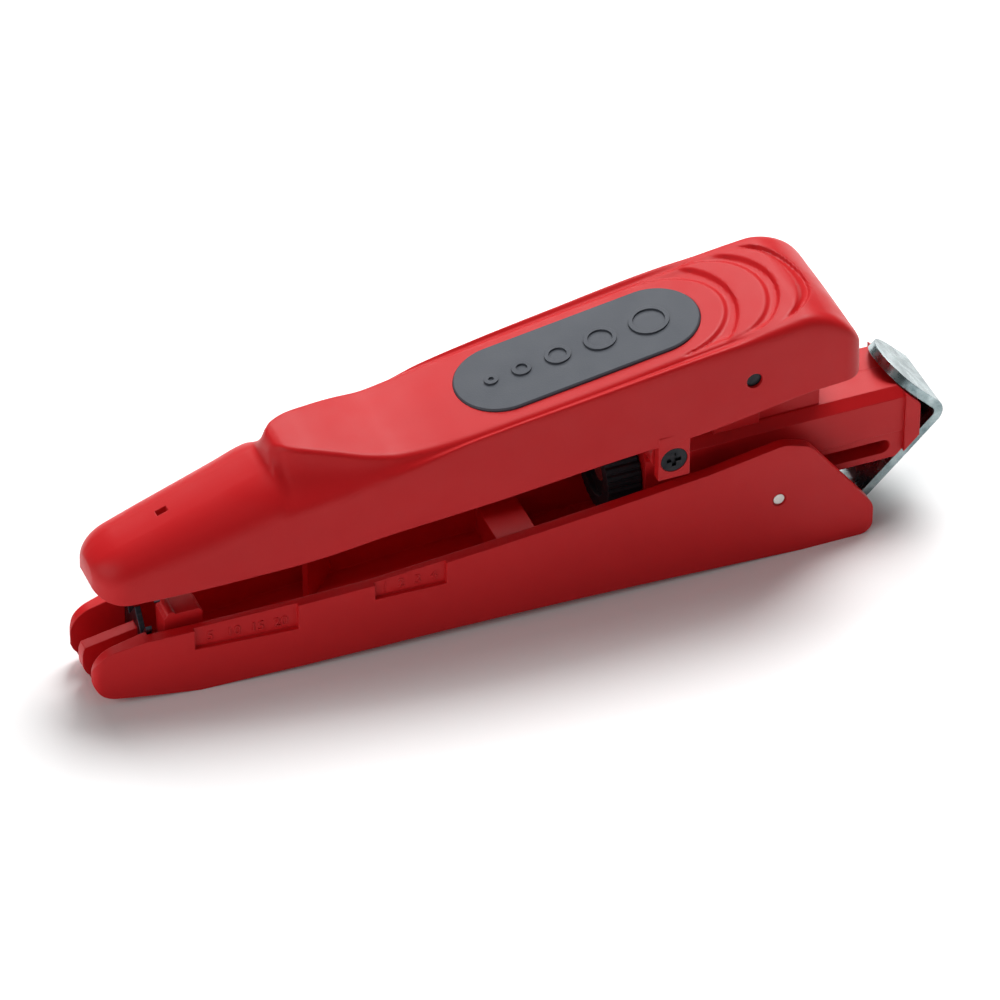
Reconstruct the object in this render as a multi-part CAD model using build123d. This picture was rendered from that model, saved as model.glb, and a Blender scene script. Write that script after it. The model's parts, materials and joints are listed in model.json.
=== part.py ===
from build123d import *
import math
import os

# Cable stripper: two hinged handles with wire jaws at the front and a hook knife at the rear.
# +X runs from the jaws to the hook, +Y to the far side, +Z up, all in millimetres.
# The lower handle stands on Z = 0, and the overall length is centred on X = 0.

# Overall sizes and fits
jaw_front = -95.1
hook_apex = 95.1
far = 60.0
beyond = hook_apex + 40.0
wall = 2.2
running = 0.05
sliding = 0.15
clear = 0.3

# Upper handle sections: x, half width, top of the side, then the shoulder's rise, the half width
# and height of its foot, the half width of the flat top, and the top
shell_stations = [
    (-93.4, 8.4, 29.0, 32.2, 5.6, 34.4, 2.0, 34.6),
    (-88.0, 9.3, 29.8, 33.6, 6.0, 36.3, 2.1, 36.5),
    (-79.3, 10.3, 32.1, 36.2, 6.6, 39.2, 2.2, 39.4),
    (-70.5, 11.2, 34.0, 38.7, 7.1, 42.2, 2.2, 42.4),
    (-61.7, 11.9, 36.8, 41.5, 7.4, 45.2, 2.2, 45.4),
    (-57.0, 12.3, 38.6, 43.2, 7.5, 46.8, 2.2, 47.0),
    (-54.6, 12.5, 39.2, 43.9, 7.0, 47.2, 2.2, 48.0),
    (-53.6, 12.6, 39.3, 44.0, 6.0, 46.2, 2.4, 50.9),
    (-52.4, 12.7, 39.5, 44.2, 5.6, 44.6, 3.6, 52.4),
    (-50.8, 12.8, 39.7, 44.4, 6.6, 43.8, 5.1, 52.8),
    (-47.9, 13.0, 40.0, 44.6, 8.0, 43.8, 6.7, 52.7),
    (-41.5, 13.5, 41.0, 45.4, 10.0, 44.2, 8.9, 51.7),
    (-35.0, 13.9, 42.0, 46.4, 11.8, 44.9, 10.8, 50.4),
    (-28.2, 14.4, 43.0, 48.0, 12.8, 45.6, 11.8, 49.5),
    (-22.0, 14.8, 44.4, 50.2, 13.4, 46.6, 12.5, 49.9),
    (-14.0, 15.2, 46.2, 53.2, 13.9, 48.2, 13.0, 51.0),
    (14.0, 16.3, 50.6, 58.4, 14.3, 52.4, 13.3, 55.1),
    (42.0, 17.0, 54.8, 62.0, 14.3, 56.8, 13.2, 59.4),
    (50.0, 17.0, 55.6, 61.0, 15.0, 59.6, 12.8, 60.6),
    (60.0, 17.0, 56.4, 61.0, 15.4, 61.6, 12.4, 61.8),
    (72.6, 17.0, 57.2, 62.2, 15.4, 63.0, 12.0, 63.2),
]
skirt_line = [
    (-94.6, 25.6), (-85.3, 25.9), (-51.3, 28.1), (-29.3, 31.5), (-7.3, 34.2), (14.7, 37.2),
    (26.7, 38.5), (35.0, 39.2), (49.0, 41.4), (60.0, 43.2), (70.0, 44.0), (75.6, 45.0),
]
loft_x = [-93.1, -92.7, -91.9, -90.6, -88.6, -86.2, -79.3, -70.5, -61.7, -57.0, -55.2, -54.3, -53.6,
          -53.0, -52.4, -51.6, -50.4, -48.4, -45.0, -41.5, -38.0, -34.0, -28.2, -22.0, -14.0, 0.0, 14.0,
          28.0, 42.0, 50.0, 60.0, 62.6, 65.2, 67.4, 69.2, 70.6, 71.5, 72.0, 72.3]
cavity_x = [-86.0, -78.0, -66.0, -60.0, -55.0, -50.0, -46.0, -41.5, -34.0, -28.0, -12.0, 14.0, 42.0, 60.0,
            64.0, 67.0, 69.0, 70.2]
nose_end = -93.4
nose_round = 7.0
nose_middle = 30.5
nose_blunt = 0.3
rear_end = 72.6
rear_round = 4.5
rear_top_round = 13.5
rear_middle = 50.2
side_draft = 0.045
crown = 0.35
hole_x = -76.4

# Badge panel on the sloping back, and the ripples behind it
slope_x = 14.8
slope_z = 55.25
slope_angle = math.degrees(math.atan(0.152))
badge_length = 54.0
badge_width = 20.5
badge_recess = 0.9
badge_proud = 0.5
badge_relief = 0.4
badge_ring_radii = [1.5, 2.1, 2.8, 3.5, 4.3]
badge_ring_gap = 3.2
badge_ring_width = 0.9
panel_groove = 1.4
groove_depth = 0.7
ripple_apexes = [35.0, 43.9, 49.2]
ripple_radii = [17.0, 15.0, 13.8]
ripple_half_angle = 52.0

# Knife body between the handles
knife_z = 22.3
body_front = 26.6
body_rear = hook_apex - 9.4
body_half = 9.2
strip_half = 8.9
body_low = 13.2
crease_z = 20.0
body_top = 30.8
body_chamfer = 2.0
flange_rear = hook_apex - 5.9
flange_half = 9.9
shoulder_half = 6.8
shoulder_low = 28.8
shoulder_top = 37.0
shoulder_rear = 67.0
lug_front = 42.4
lug_rear = 52.8
lug_half = 8.0
lug_top = 53.4
hinge_x = 54.6
hinge_z = 15.1
hinge_pin_r = 1.25
hinge_lug_r = 4.2
pin_x = 47.6
pin_z = 49.6
pin_r = 1.7
handle_screw_x = 29.8
handle_screw_z = 34.2
screw_head_r = 2.9
screw_r = 1.5
screw_boss_r = 4.2
tab_outer = 16.75
shell_screw_spots = [(77.0, 28.2), (36.0, 33.0)]

# Hook, its slider and its spring
strip = 2.0
hook_half = 8.5
bend_r = 1.5
bar_low = 3.4
bar_length = 15.8
bar_front = hook_apex - (knife_z - bar_low) - bar_length
hook_tip_x = hook_apex - 12.7
slot_z = 16.6
slot_half = 1.7
slot_front = bar_front + 3.8
slot_rear = hook_apex - 12.3
guide_pin_r = 1.6
channel_half = 3.1
channel_top = 18.4
channel_rear = slot_rear + 0.8
tunnel_front = 32.0
spring_wire_r = 0.35
hook_spring_r = 1.35
anchor_x = 34.4
anchor_r = 0.8

# Depth wheel, spindle, carriage and swivelling blade
wheel_front = 18.7
wheel_length = 7.5
wheel_r = 8.5
wheel_flutes = 30
flute_depth = 0.45
spindle_r = 2.5
spindle_rear = hook_apex - 21.1
collar_r = 4.1
collar_x = 34.2
collar_length = 2.0
carriage_half = 3.2
carriage_front = hook_apex - 37.1
carriage_length = 22.5
cavity_front = carriage_front - 14.0
cavity_end = hook_apex - 11.9
journal_r = 2.0
journal_front = spindle_rear + 1.0
disc_r = 3.1
blade_thick = 0.8
blade_half = 2.4
blade_front = hook_apex - 12.6
blade_tip = hook_apex - 6.4
swivel_groove = 0.6
swivel_pin_r = 0.6
swivel_pin_x = hook_apex - 17.1

# Lower handle: x, half width
plan_stations = [(-83.0, 9.8), (-73.0, 10.8), (-51.0, 12.5), (-34.0, 13.3), (-6.0, 14.2),
                 (16.0, 14.8), (39.0, 15.3)]
plan_nose_half = 8.2
plan_rear_half = 15.5
lower_rear = 76.4
arch_height = 1.7
lower_wall = 2.4
lower_floor = 2.4
hump_x = 55.6
hump_z = 29.4
top_line = [(-84.1, 15.3), (-51.3, 17.2), (-35.8, 18.0), (-6.3, 21.1), (15.7, 23.6), (38.4, 26.4)]
jaw_top = 12.7
jaw_low = 2.0
jaw_back = -83.0
jaw_cheek = 2.5
fin_half = 1.3
fin_top_front = 10.4
fin_top_back = 12.5
slot_floor = 3.2
windows = [(-73.8, -51.8, 11.0), (-35.2, -19.6, 14.2)]
window_depth = 1.0

# Wire jaws and the length stop
plate = 1.2
notch_y = 3.6
notch_depth = 4.6
lower_tips = 17.0
upper_tips = 22.6
blade_half_width = 7.1
upper_blade_x = -81.0
upper_blade_base = 32.3
front_rib_drop = 2.5
back_rib_drop = 2.3
rib_y = 4.6
rib_half = 2.0
rib_top = 36.6
stop_front = -79.0
stop_length = 8.3
stop_near = -6.9
stop_far = -1.6
stop_top = 18.5
rail_y = -4.2
rail_half = 0.8
rail_top = 4.6

# Handle opening spring
open_spring_x = 40.0
open_spring_r = 3.6
open_wire_r = 0.6
open_turns = 4

EVERY_SIDE = (-1, 1)


def along(table, x):
    """Value at x of a smooth curve through the (x, value) pairs, with no overshoot."""
    xs = [row[0] for row in table]
    ys = [row[1] for row in table]
    steps = [(ys[i + 1] - ys[i]) / (xs[i + 1] - xs[i]) for i in range(len(xs) - 1)]
    slopes = [steps[0]]
    for before, after in zip(steps, steps[1:]):
        slopes.append(2 * before * after / (before + after) if before * after > 0 else 0.0)
    slopes.append(steps[-1])
    i = max(k for k in range(len(xs) - 1) if k == 0 or x >= xs[k])
    width = xs[i + 1] - xs[i]
    t = (x - xs[i]) / width
    rise = ys[i + 1] - ys[i]
    bend = slopes[i] * width * t * (1 - t) ** 2 - slopes[i + 1] * width * t * t * (1 - t)
    return ys[i] + rise * t * t * (3 - 2 * t) + bend


def column(number):
    return [(row[0], row[number]) for row in shell_stations]


def round_end(x, end, length, power):
    """Scale, from 1 down to 0, that rounds an end off over its last stretch."""
    t = max(0.0, 1 - abs(x - end) / length)
    return (1 - t ** power) ** (1 / power)


def block(x0, x1, y0, y1, z0, z1):
    return Pos((x0 + x1) / 2, (y0 + y1) / 2, (z0 + z1) / 2) * Box(x1 - x0, y1 - y0, z1 - z0)


def rod_x(x0, x1, radius, y=0.0, z=knife_z):
    return Pos((x0 + x1) / 2, y, z) * Rot(0, 90, 0) * Cylinder(radius, x1 - x0)


def rod_y(x, z, radius, y0, y1):
    return Pos(x, (y0 + y1) / 2, z) * Rot(90, 0, 0) * Cylinder(radius, y1 - y0)


def side_profile(points, half):
    """Solid with the given outline in the XZ plane, from -half to +half across."""
    face = make_face(Polyline([Vector(x, 0, z) for x, z in points], close=True))
    return extrude(face, half, dir=(0, 1, 0), both=True)


# Upper handle

def shell_section(x, inset=0.0):
    """One cross-section of the upper handle: drafted sides, swept shoulders, crowned top."""
    nose = round_end(x, nose_end, nose_round, 2.2) if x < 0 else 1.0
    tail = round_end(x, rear_end, rear_round, 2.2) if x > 0 else 1.0
    half, side_top, rise, foot_half, foot, flat, top = (along(column(k), x) for k in range(1, 8))
    base = nose_middle if x < 0 else rear_middle
    lift = nose_blunt + (1 - nose_blunt) * nose if x < 0 else round_end(x, rear_end, rear_top_round, 1.6)
    narrow = 1 - (nose_round * (1 - nose) + rear_round * (1 - tail) + inset) / half
    skirt = along(skirt_line, x)
    low = (base + (skirt - base) * lift if x < 0 else skirt) - inset

    def raised(z, share):
        return base + (z - base) * lift - share * inset

    shoulder_z = raised(side_top, 0.7)
    side = half * narrow - side_draft * (shoulder_z - low)
    edge = raised(top, 1) - crown * flat / half
    corners = []
    for way in (1, -1):
        corners.append(Bezier(
            (x, way * side, shoulder_z),
            (x, way * side, raised(rise, 0.9)),
            (x, way * foot_half * narrow, raised(foot, 1)),
            (x, way * flat * narrow, edge)))
    outline = [
        Line((x, -half * narrow, low), (x, half * narrow, low)),
        Line((x, half * narrow, low), (x, side, shoulder_z)),
        corners[0],
        ThreePointArc((x, flat * narrow, edge), (x, 0, raised(top, 1)), (x, -flat * narrow, edge)),
        corners[1],
        Line((x, -side, shoulder_z), (x, -half * narrow, low)),
    ]
    return make_face(outline)


def shell_body():
    outer = loft([shell_section(x) for x in loft_x], ruled=True)
    inner = loft([shell_section(x, wall) for x in cavity_x], ruled=True)
    return outer - inner


def on_slope(x, y=0.0, height=0.0):
    """Place on the badge panel: x along the slope from the badge centre, height above it."""
    return Pos(slope_x, 0, slope_z) * Rot(0, -slope_angle, 0) * Pos(x, y, height)


def stadium(length, width, height):
    return extrude(SlotOverall(length, width), height)


def ripple(apex, radius):
    """Shallow crescent groove that bows to the rear."""
    ring = Cylinder(radius, 4) - Cylinder(radius - panel_groove, 6)
    keep = Pos(radius, 0, 0) * Box(2 * radius, 2 * radius * math.sin(math.radians(ripple_half_angle)), 8)
    keep = keep & (Pos(radius * math.cos(math.radians(ripple_half_angle)) + radius, 0, 0)
                   * Box(2 * radius, 4 * radius, 8))
    return on_slope(apex - radius, 0, 2 - groove_depth) * (ring & keep)


def shell_relief():
    """Everything sunk into the sloping back: badge pocket, panel edges, ripples."""
    cuts = [on_slope(0, 0, -badge_recess) * stadium(badge_length + 0.1, badge_width + 0.1, 5)]
    cuts += [ripple(apex, radius) for apex, radius in zip(ripple_apexes, ripple_radii)]
    return cuts


def side_tab(way):
    """Ear of the skirt that takes the screw into the knife body."""
    ear = block(26.3, 33.3, tab_outer - wall, tab_outer, 29.6, 40.5)
    head = rod_y(handle_screw_x, handle_screw_z, screw_head_r + 0.1, tab_outer - 1.3, tab_outer + 1)
    hole = rod_y(handle_screw_x, handle_screw_z, screw_r + 0.1, 0, tab_outer + 1)
    ear = ear - head - hole
    return ear if way > 0 else mirror(ear, about=Plane.XZ)


def upper_handle():
    shell = shell_body()
    for cut in shell_relief():
        shell -= cut
    for way in EVERY_SIDE:
        shell += side_tab(way)
        shell += nose_ribs(way)
    shell -= rod_y(pin_x, pin_z, pin_r, -far, far)
    shell -= Pos(hole_x, 0, along(column(7), hole_x)) * Box(2.4, 1.6, 8)
    shell += gusset()
    return shell


def nose_ribs(way):
    """Ribs in the nose that hold the upper wire blade in front and behind."""
    ends = (way * rib_y - rib_half, way * rib_y + rib_half)
    back_x = upper_blade_x + plate
    front = block(upper_blade_x - 1.6, upper_blade_x, *ends, upper_blade_base - front_rib_drop, rib_top)
    return front + block(back_x, back_x + 1.8, *ends, upper_blade_base - back_rib_drop, rib_top)


def gusset():
    points = [(-5.6, 50.6), (-2.2, 50.6), (-2.2, 33.6), (-3.0, 31.6)]
    return Pos(0, 4.5, 0) * side_profile(points, 4.0)


def badge_insert():
    plate_solid = stadium(badge_length, badge_width, badge_recess + badge_proud)
    plate_solid = chamfer(plate_solid.edges().group_by(Axis.Z)[-1], 0.3)
    total = sum(2 * r for r in badge_ring_radii) + badge_ring_gap * (len(badge_ring_radii) - 1)
    x = -total / 2
    for radius in badge_ring_radii:
        x += radius
        ring = Cylinder(radius, badge_relief) - Cylinder(radius - badge_ring_width, 1)
        plate_solid += Pos(x, 0, badge_recess + badge_proud + badge_relief / 2) * ring
        x += radius + badge_ring_gap
    return on_slope(0, 0, -badge_recess) * plate_solid


# Lower handle

def lower_outline():
    """Side outline of the lower handle, from the jaw round to the rear."""
    points = [(jaw_front, jaw_low), (-73.0, 0.0)]
    arch = ThreePointArc((-73.0, 0, 0), (-8.0, 0, arch_height), (60.0, 0, 0))
    rear = [(60.0, 0.0), (lower_rear, 0.0), (lower_rear, 7.6), (61.4, 27.4), (hump_x, hump_z)]
    top = rear + [(x, z) for x, z in reversed(top_line)] + [(jaw_front, jaw_top), points[0]]
    edges = [Line((points[0][0], 0, points[0][1]), (points[1][0], 0, points[1][1])), arch]
    edges += [Line((a[0], 0, a[1]), (b[0], 0, b[1])) for a, b in zip(top, top[1:])]
    return make_face(edges)


def rounded_profile(face, rounds):
    """Round the outline's corners: each entry is a corner (x, z) and its radius."""
    for (x, z), radius in rounds:
        corner = min(face.vertices(), key=lambda v: (v.X - x) ** 2 + (v.Z - z) ** 2)
        face = fillet(corner, radius)
    return face


def lower_plan(inset, front, rear):
    """Plan outline of the lower handle, inset by a wall, between two X values."""
    rows = [(jaw_front, plan_nose_half)] + plan_stations + [(60.0, plan_rear_half), (90.0, plan_rear_half)]
    xs = [front] + [x for x, half in rows if front < x < rear] + [rear]
    near = [(x, along(rows, x) - inset) for x in xs]
    outline = near + [(x, -half) for x, half in reversed(near)]
    return make_face(Polyline([Vector(x, y, 0) for x, y in outline], close=True))


def lower_envelope():
    outline = rounded_profile(lower_outline(), [
        ((jaw_front, jaw_low), 5.0), ((jaw_front, jaw_top), 6.0), ((lower_rear, 0.0), 3.0),
        ((lower_rear, 7.6), 5.0), ((61.4, 27.4), 5.0), ((hump_x, hump_z), 6.0)])
    sides = extrude(outline, far, dir=(0, 1, 0), both=True)
    plan = extrude(lower_plan(0, jaw_front, lower_rear), far)
    nose_edges = plan.edges().filter_by(Axis.Z).group_by(Axis.X)[0]
    plan = fillet(nose_edges, 2.2)
    return sides & plan


def lower_cavity():
    """Trough of the lower handle, open above and at the rear end."""
    floor = [(jaw_back, lower_floor), (-79.0, lower_floor), (-60.0, lower_floor + 0.4),
             (-8.0, arch_height + lower_floor),
             (45.0, lower_floor + 0.3), (62.0, lower_floor), (beyond, lower_floor),
             (beyond, far), (jaw_back, far)]
    return side_profile(floor, far) & extrude(lower_plan(lower_wall, jaw_back, lower_rear + 10), far)


def jaw_slots():
    """The two slots between the three fins of the jaw."""
    inner = along([(jaw_front, plan_nose_half), plan_stations[0]], jaw_front + 6.1) - jaw_cheek
    slots = [block(jaw_front - 5, jaw_back + 0.1, *sorted((way * fin_half, way * inner)), slot_floor, far)
             for way in EVERY_SIDE]
    slope = (fin_top_back - fin_top_front) / (jaw_back - jaw_front)
    fin_cut = [(jaw_front - 1, fin_top_front - slope), (jaw_back + 0.1, fin_top_back),
               (jaw_back + 0.1, far), (jaw_front - 1, far)]
    return slots + [side_profile(fin_cut, fin_half + 0.1)]


def window_recess(window, way):
    """Shallow recess in a side wall that carries a scale."""
    front, rear, low = window
    plan_rows = [(jaw_front, plan_nose_half)] + plan_stations
    outer_front = along(plan_rows, front) - window_depth
    outer_rear = along(plan_rows, rear) - window_depth
    outline = [(front, outer_front), (rear, outer_rear), (rear, 40), (front, 40)]
    face = make_face(Polyline([Vector(x, y, low) for x, y in outline], close=True))
    cut = extrude(face, 20)
    cut = Pos(0, 0, low) * Rot(0, -3.5, 0) * Pos(0, 0, -low) * cut if way > 0 else cut
    return cut if way > 0 else mirror(cut, about=Plane.XZ)


def lower_ribs():
    """Ribs and seats inside the trough."""
    blade_rib = block(jaw_back + plate, jaw_back + plate + 1.8, -7.6, 7.6, 2, 8)
    rail = block(jaw_back + plate + 1, -49.0, rail_y - rail_half, rail_y + rail_half, 2, rail_top)
    step = block(-2.8, 6.2, -12.4, 12.4, 3, 10)
    corner_rib = Pos(-39.8, 8.2, 9.5) * Rot(0, 0, 45) * Box(13.0, 1.2, 14)
    seat = Pos(open_spring_x, 0, 3.4) * Cylinder(open_spring_r - open_wire_r - 0.3, 3)
    return blade_rib + rail + step + corner_rib + seat


def lower_handle():
    solid = lower_envelope() - lower_cavity()
    solid += lower_ribs() & extrude(lower_plan(1.0, -90, 70), far)
    for cut in jaw_slots():
        solid -= cut
    for window in windows:
        for way in EVERY_SIDE:
            solid -= window_recess(window, way)
    for way in EVERY_SIDE:
        solid -= rod_y(hinge_x, hinge_z, hinge_pin_r, *sorted((way * 5, way * far)))
        solid -= rod_y(hinge_x, hinge_z, hinge_pin_r + 0.35, *sorted((way * 15.1, way * far)))
    return solid


def hinge_pins():
    near = rod_y(hinge_x, hinge_z, hinge_pin_r, -15.2, -4.2)
    return [near, mirror(near, about=Plane.XZ)]


# Wire jaws and length stop

def wire_blade(x, base_z, tip_z):
    """Plate with three teeth and a V notch for each wire slot; the teeth point at tip_z."""
    way = 1 if tip_z > base_z else -1
    notch = tip_z - way * notch_depth
    right = [(0, tip_z), (notch_y, notch), (2 * notch_y, tip_z), (blade_half_width, tip_z - way * 0.6),
             (blade_half_width, base_z)]
    right[2] = (2 * notch_y - 0.4, tip_z)
    left = [(-y, z) for y, z in reversed(right[1:])]
    outline = right + left
    face = make_face(Polyline([Vector(x, y, z) for y, z in outline], close=True))
    return extrude(face, plate, dir=(1, 0, 0))


def length_stop():
    body = block(stop_front, stop_front + stop_length, stop_near, stop_far, 3.4, stop_top)
    body = chamfer(body.edges().filter_by(Axis.Y).group_by(Axis.Z)[-1], 0.8)
    nub = rod_y(stop_front + 1.6, stop_top - 0.4, 1.0, stop_near, stop_far)
    groove = block(stop_front - 1, stop_front + stop_length + 1, rail_y - rail_half - sliding,
                   rail_y + rail_half + sliding, 3, rail_top + sliding)
    return body + nub - groove


# Knife body

def hook_inner_z(x):
    """Height of the hook's inner face above the knife axis, at x."""
    outer_x = hook_apex + (math.sqrt(2) - 1) * (bend_r + strip)
    return outer_x - strip * math.sqrt(2) - x


def body_core():
    core = block(body_front, body_rear, -body_half, body_half, crease_z, body_top)
    core = chamfer(core.edges().filter_by(Axis.X).group_by(Axis.Z)[-1], body_chamfer)
    core += block(body_front, body_rear, -strip_half, strip_half, body_low, crease_z)
    core += block(body_front, shoulder_rear, -shoulder_half, shoulder_half, shoulder_low, shoulder_top)
    core += block(lug_front, lug_rear, -lug_half, lug_half, body_top, lug_top)
    boss_end = tab_outer - wall - clear
    core += rod_y(handle_screw_x, handle_screw_z, screw_boss_r, -boss_end, boss_end)
    reach = hook_inner_z(0) - clear * math.sqrt(2)
    core &= side_profile([(reach, knife_z), (reach - far, knife_z + far), (0, knife_z + far),
                          (0, knife_z - far), (reach - far, knife_z - far)], far)
    flange = [(x, knife_z + way * (reach - x)) for way in (1, -1) for x in (body_rear, flange_rear)]
    flange = [flange[0], flange[1], flange[3], flange[2]]
    return core + side_profile(flange, flange_half)


def body_bores():
    """Everything hollow inside the knife body, from the hook channel to the blade bore."""
    side = carriage_half + 0.1
    cuts = [
        block(bar_front - 1.5, channel_rear, -channel_half, channel_half, 10, channel_top),
        block(tunnel_front, bar_front, -channel_half + 0.8, channel_half - 0.8, 14.3, channel_top),
        block(cavity_front, cavity_end, -side, side, knife_z - side, knife_z + side),
        rod_x(body_front - 1, cavity_front + 1, spindle_r + running),
        rod_x(collar_x - 0.1, collar_x + collar_length + 0.1, collar_r + 0.2),
        rod_x(cavity_end - 1, flange_rear + 1, disc_r + 0.15),
        rod_y(pin_x, pin_z, pin_r, -far, far),
        rod_y(anchor_x, slot_z, anchor_r, -5, 5),
    ]
    for way in EVERY_SIDE:
        ends = sorted((way * 2.9, way * far))
        cuts.append(block(slot_front + slot_half, slot_rear - slot_half, *ends,
                          slot_z - slot_half, slot_z + slot_half))
        for x in (slot_front + slot_half, slot_rear - slot_half):
            cuts.append(rod_y(x, slot_z, slot_half, *ends))
        cuts.append(rod_y(hinge_x, hinge_z, hinge_pin_r + running, *sorted((way * 3.6, way * far))))
        cuts.append(rod_y(handle_screw_x, handle_screw_z, screw_r, *sorted((way * 4.4, way * far))))
    return cuts


def knife_half(way):
    """One of the two shells that close on each other at Y = 0."""
    solid = body_core() & block(0, beyond, *sorted((0, way * far)), 0, far)
    solid += rod_y(hinge_x, hinge_z, hinge_lug_r, *sorted((0, way * strip_half)))
    for cut in body_bores():
        solid -= cut
    return solid


def knife_body_left():
    half = knife_half(-1)
    for x, z in shell_screw_spots:
        half -= rod_y(x, z, screw_r, -5.5, 0.1)
    return half


def knife_body_right():
    half = knife_half(1)
    for x, z in shell_screw_spots:
        half -= rod_y(x, z, screw_r, -0.1, far)
        half -= rod_y(x, z, screw_head_r - 0.4, screw_seat(z), far)
    return half


def screw_seat(z):
    """Y of the seat under a shell screw's head: deeper in the wide shoulder."""
    return shoulder_half - 4 if z > body_top else body_half - 2.4


def screw(x, z, head_y, head_r, length, way):
    """Pan-head screw with a cross recess, its head standing outward from head_y."""
    head_high = 1.2
    body = rod_y(x, z, head_r, head_y, head_y + head_high) + rod_y(x, z, screw_r, head_y - length, head_y)
    arm = 0.32 * head_r
    for wide, high in ((head_r * 1.1, arm), (arm, head_r * 1.1)):
        body -= Pos(x, head_y + head_high, z) * Box(wide, 1.2, high)
    return body if way > 0 else mirror(body, about=Plane.XZ)


def handle_screws():
    return [screw(handle_screw_x, handle_screw_z, 15.45, screw_head_r, 11.0, way) for way in EVERY_SIDE]


def shell_screws():
    return [screw(x, z, screw_seat(z), screw_head_r - 0.5, screw_seat(z) + 5.4, 1)
            for x, z in shell_screw_spots]


# Hook and slider

def hook_outline():
    """Side outline of the bent strip: bar, lower leg, apex and upper leg."""
    outer_x = hook_apex + (math.sqrt(2) - 1) * (bend_r + strip)
    inner_x = outer_x - strip * math.sqrt(2)
    bar_top = bar_low + strip
    tip_outer = (hook_tip_x + strip / math.sqrt(2), knife_z + outer_x - hook_tip_x - strip / math.sqrt(2))
    tip_inner = (hook_tip_x, knife_z + inner_x - hook_tip_x)
    outer = [(bar_front, bar_low), (outer_x - (knife_z - bar_low), bar_low), (outer_x, knife_z), tip_outer]
    inner = [tip_inner, (inner_x, knife_z), (inner_x - (knife_z - bar_top), bar_top), (bar_front, bar_top)]
    rounds = [(outer[1], bend_r + strip), (outer[2], bend_r + strip), (inner[1], bend_r), (inner[2], bend_r)]
    return outer + inner, rounds, tip_inner


def hook():
    points, rounds, tip = hook_outline()
    face = make_face(Polyline([Vector(x, 0, z) for x, z in points], close=True))
    solid = extrude(rounded_profile(face, rounds), hook_half, dir=(0, 1, 0), both=True)
    along_leg = Pos(tip[0], 0, tip[1]) * Rot(0, 45, 0)
    end = Pos(hook_half / 2, 0, 0) * Box(hook_half, 4 * hook_half, 8)
    end -= Pos(hook_half, 0, 0) * Cylinder(hook_half, 10)
    solid -= along_leg * end
    for x in rivet_spots():
        solid -= Pos(x, 0, bar_low) * Cylinder(1.2, 8)
    return solid


def rivet_spots():
    return [bar_front + 2.4, bar_front + 8.8]


def hook_rivets():
    return [Pos(x, 0, bar_low + 2.6) * Cylinder(1.2, 5.2) for x in rivet_spots()]


def hook_slider():
    foot = block(bar_front + 0.3, bar_front + 11.3, -5, 5, bar_low + strip, body_low - clear)
    foot = fillet(foot.edges().filter_by(Axis.Z), 1.5)
    pin_at = slot_front + slot_half
    neck = block(pin_at - 2.6, pin_at + 2.2, -channel_half + sliding, channel_half - sliding,
                 bar_low + strip + 2, channel_top - sliding)
    solid = foot + neck
    solid -= rod_y(pin_at, slot_z, guide_pin_r, -far, far)
    for x in rivet_spots():
        solid -= Pos(x, 0, bar_low + 2.6) * Cylinder(1.2, 5.2)
    return solid


def hook_guide_pin():
    return rod_y(slot_front + slot_half, slot_z, guide_pin_r, -strip_half + 0.2, strip_half - 0.2)


def spring_anchor_pin():
    return rod_y(anchor_x, slot_z, anchor_r, -5, 5)


def coil(radius, wire_r, pitch, length):
    """Helical wire of the given mean radius along +Z from the origin."""
    path = Helix(pitch, length, radius)
    start = Plane(origin=path @ 0, z_dir=path % 0)
    return sweep(start * Circle(wire_r), path=path, is_frenet=True)


def hook_spring():
    """Tension spring that pulls the slider towards the anchor pin."""
    first = anchor_x + anchor_r + 2.2
    last = slot_front + slot_half - 2.6 - 1.6
    turns = 9
    body = coil(hook_spring_r, spring_wire_r, (last - first) / turns, last - first)
    body = Pos(first, 0, slot_z - 0.4) * Rot(0, 90, 0) * body
    return body


def opening_spring():
    """Compression spring that holds the handles apart, standing in the lower handle."""
    low = floor_z(open_spring_x)
    high = body_low
    body = coil(open_spring_r, open_wire_r, (high - low) / open_turns, high - low)
    body = Pos(open_spring_x, 0, low) * body
    return body & block(0, 80, -20, 20, low, high)


def floor_z(x):
    """Top of the trough's floor under the opening spring."""
    rows = [(-8.0, arch_height + lower_floor), (45.0, lower_floor + 0.3)]
    share = (x - rows[0][0]) / (rows[1][0] - rows[0][0])
    return rows[0][1] + share * (rows[1][1] - rows[0][1])


# Depth setting and blade

def depth_wheel():
    inner = wheel_r - flute_depth
    points = []
    for i in range(wheel_flutes):
        for step, radius in ((0.0, wheel_r), (0.42, wheel_r), (0.7, inner)):
            angle = 2 * math.pi * (i + step) / wheel_flutes
            points.append((0, radius * math.cos(angle), radius * math.sin(angle)))
    face = make_face(Polyline([Vector(*p) for p in points], close=True))
    wheel = Pos(wheel_front, 0, knife_z) * extrude(face, wheel_length, dir=(1, 0, 0))
    wheel -= rod_x(wheel_front - 1, wheel_front + 1.2, wheel_r - 3)
    return wheel - rod_x(wheel_front - 1, wheel_front + 20, spindle_r)


def depth_spindle():
    rod = rod_x(wheel_front + 1.2, spindle_rear, spindle_r)
    rod = chamfer(rod.edges().group_by(Axis.X)[-1], 0.5)
    return rod + rod_x(collar_x, collar_x + collar_length, collar_r)


def blade_carriage():
    rear = carriage_front + carriage_length
    body = block(carriage_front, rear, -carriage_half, carriage_half,
                 knife_z - carriage_half, knife_z + carriage_half)
    body -= rod_x(carriage_front - 1, spindle_rear + 0.5, spindle_r + running)
    body -= rod_x(spindle_rear, rear + 1, journal_r + running)
    return body - rod_y(swivel_pin_x, swivel_pin_z(), swivel_pin_r, -far, far)


def swivel_pin_z():
    return knife_z + journal_r - swivel_groove + swivel_pin_r + running


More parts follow.
